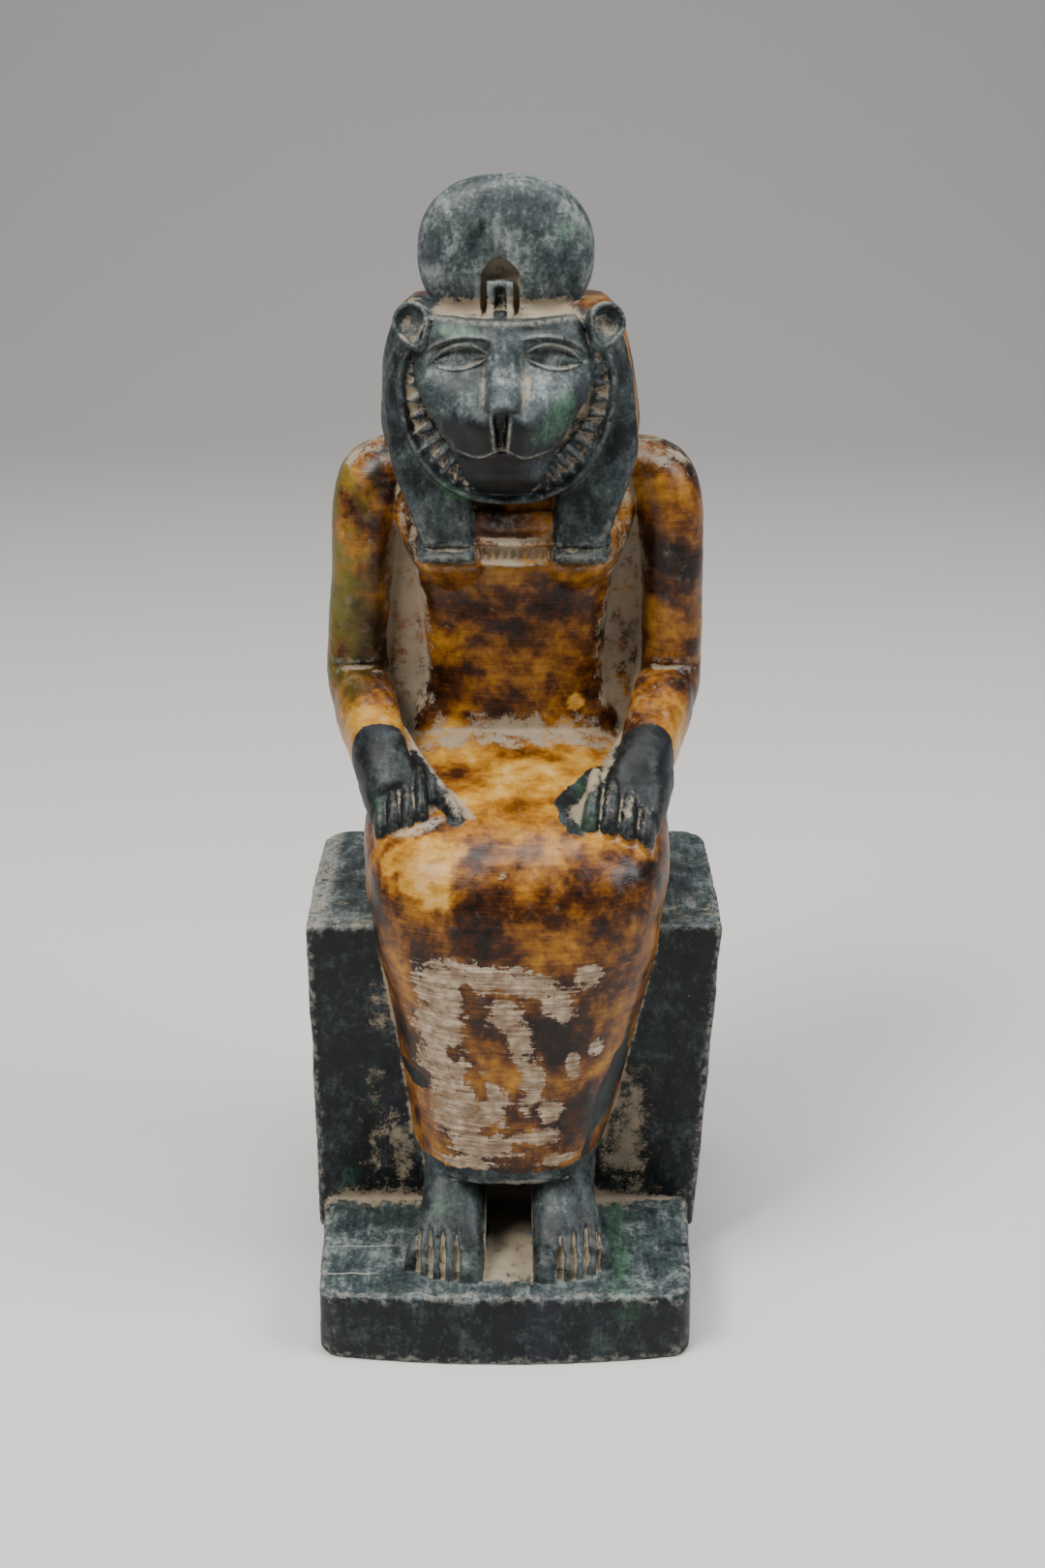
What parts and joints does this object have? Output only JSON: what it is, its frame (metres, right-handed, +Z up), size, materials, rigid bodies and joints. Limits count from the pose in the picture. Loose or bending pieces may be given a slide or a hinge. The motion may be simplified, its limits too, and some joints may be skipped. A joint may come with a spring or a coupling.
{
  "type": "seated lioness goddess statue",
  "caption": "Carved statue of a lioness-headed goddess with a sun disc, seated with hands on her lap on a block seat that is one piece with its plinth; stands as an ornament.",
  "frame": {"origin": "centre of the overall box at the flat underside of the plinth", "axes": "+Z up, -Y towards the side the figure faces, +X to the viewer's right when looking at her face"},
  "size_m": [0.1152, 0.1268, 0.3],
  "materials": {
    "painted_stone": "hand painted in dark green and brown, semi-gloss varnish worn away in patches, dust in the recesses"
  },
  "bodies": {
    "root": {"statue": "painted_stone"}
  },
  "joints": []
}
